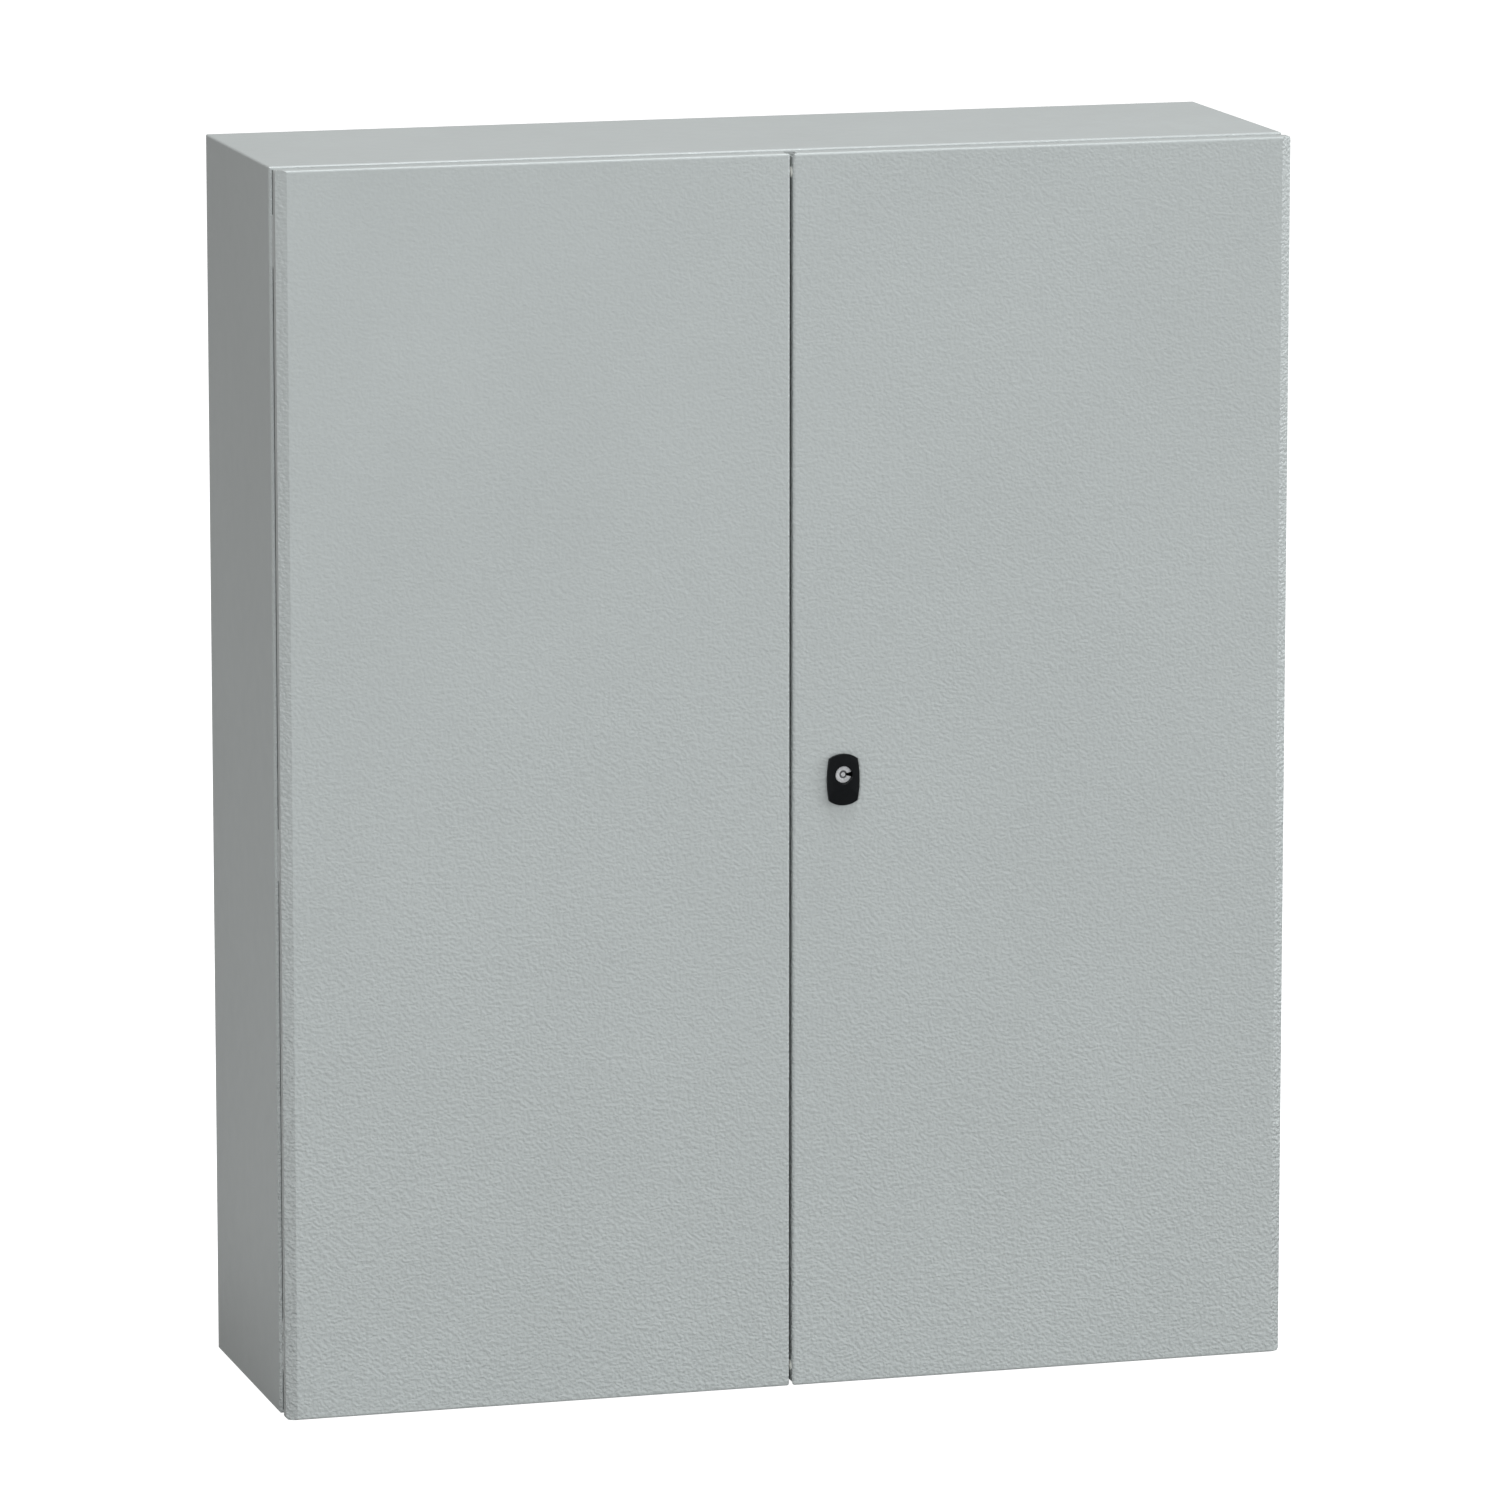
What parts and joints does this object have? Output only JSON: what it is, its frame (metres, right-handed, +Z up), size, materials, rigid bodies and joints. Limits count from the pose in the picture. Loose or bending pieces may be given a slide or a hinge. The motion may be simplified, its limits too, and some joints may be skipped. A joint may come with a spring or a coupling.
{
  "type": "industrial switchboard cabinet",
  "caption": "Folded steel wall enclosure with two hinged doors, rod lock, passive-door bolts, removable centre post, gland plates and a galvanised mounting plate.",
  "frame": {"origin": "centre of the base of the whole assembly's box, at floor level", "axes": "+X to the right seen from the front, -Y out of the doors, +Y into the wall, +Z up"},
  "size_m": [1, 0.3059, 1.2],
  "materials": {
    "grey_paint": "light grey textured polyester powder coat, satin, fine leathery grain",
    "zinc_plate": "zinc plated steel, satin",
    "galvanised": "hot-dip galvanised sheet, faint spangle, satin",
    "insert_metal": "nickel-chromed die casting, satin bright",
    "die_cast": "zinc die casting, grey, satin",
    "black_plastic": "black glass-filled polyamide, fine spark-eroded grain",
    "nylon": "natural off-white polyamide, satin",
    "gasket_foam": "black foamed-in-place polyurethane, matt skin",
    "earth_brass": "brass, satin"
  },
  "bodies": {
    "cabinet": {"body_shell": "grey_paint", "rear_panel": "grey_paint", "centre_post": "grey_paint", "post_end_seals": "gasket_foam", "post_screws": "zinc_plate", "gland_plates": "grey_paint", "gland_gaskets": "gasket_foam", "gland_screws": "zinc_plate", "mounting_plate": "galvanised", "plate_studs": "zinc_plate", "plate_spacers": "zinc_plate", "plate_nuts": "zinc_plate", "body_earth_stud": "earth_brass", "body_earth_nuts": "earth_brass", "left_hinge_body_leaves": "grey_paint", "right_hinge_body_leaves": "grey_paint", "left_hinge_pins": "zinc_plate", "right_hinge_pins": "zinc_plate", "hinge_screws": "zinc_plate", "hinge_nuts": "zinc_plate"},
    "left_door": {"left_door_panel": "grey_paint", "left_door_gasket": "gasket_foam", "left_door_rails": "galvanised", "left_hinge_door_leaves": "grey_paint", "left_door_earth_stud": "zinc_plate", "left_bolt_guides": "black_plastic"},
    "left_top_bolt": {"left_upper_bolt": "zinc_plate", "left_upper_knob": "black_plastic"},
    "left_bottom_bolt": {"left_lower_bolt": "zinc_plate", "left_lower_knob": "black_plastic"},
    "right_door": {"right_door_panel": "grey_paint", "right_door_gasket": "gasket_foam", "right_door_rails": "galvanised", "right_hinge_door_leaves": "grey_paint", "right_door_earth_stud": "zinc_plate", "gap_buffers": "nylon", "lock_escutcheon": "black_plastic", "lock_housing": "die_cast", "lock_seal": "gasket_foam", "lock_nut": "zinc_plate", "rod_guides": "black_plastic"},
    "lock_spindle": {"lock_insert": "insert_metal", "lock_cam": "zinc_plate", "cam_screw": "zinc_plate", "cam_pins": "zinc_plate"},
    "top_rod": {"upper_rod": "zinc_plate"},
    "bottom_rod": {"lower_rod": "zinc_plate"}
  },
  "joints": [
    {"name": "left_door_hinge", "type": "hinge", "parent": "cabinet", "child": "left_door", "pos_m": [-0.4945, -0.125, 0.6], "axis": [0, 0, -1], "range_deg": [0, 120]},
    {"name": "right_door_hinge", "type": "hinge", "parent": "cabinet", "child": "right_door", "pos_m": [0.4945, -0.125, 0.6], "axis": [0, 0, 1], "range_deg": [0, 120]},
    {"name": "lock_turn", "type": "hinge", "parent": "right_door", "child": "lock_spindle", "pos_m": [0.051, -0.15, 0.6], "axis": [0, 1, 0], "range_deg": [0, 90]},
    {"name": "top_rod_slide", "type": "slide", "parent": "right_door", "child": "top_rod", "axis": [0, 0, 1], "range_m": [0, 0.0198]},
    {"name": "bottom_rod_slide", "type": "slide", "parent": "right_door", "child": "bottom_rod", "axis": [0, 0, -1], "range_m": [0, 0.0198]},
    {"name": "left_top_bolt_slide", "type": "slide", "parent": "left_door", "child": "left_top_bolt", "axis": [0, 0, 1], "range_m": [0, 0.0198]},
    {"name": "left_bottom_bolt_slide", "type": "slide", "parent": "left_door", "child": "left_bottom_bolt", "axis": [0, 0, -1], "range_m": [0, 0.0198]}
  ],
  "couplings": [
    {"joint": "lock_turn", "follows": "top_rod_slide", "rad_per_m": 79.332},
    {"joint": "bottom_rod_slide", "follows": "top_rod_slide", "ratio": 1}
  ]
}
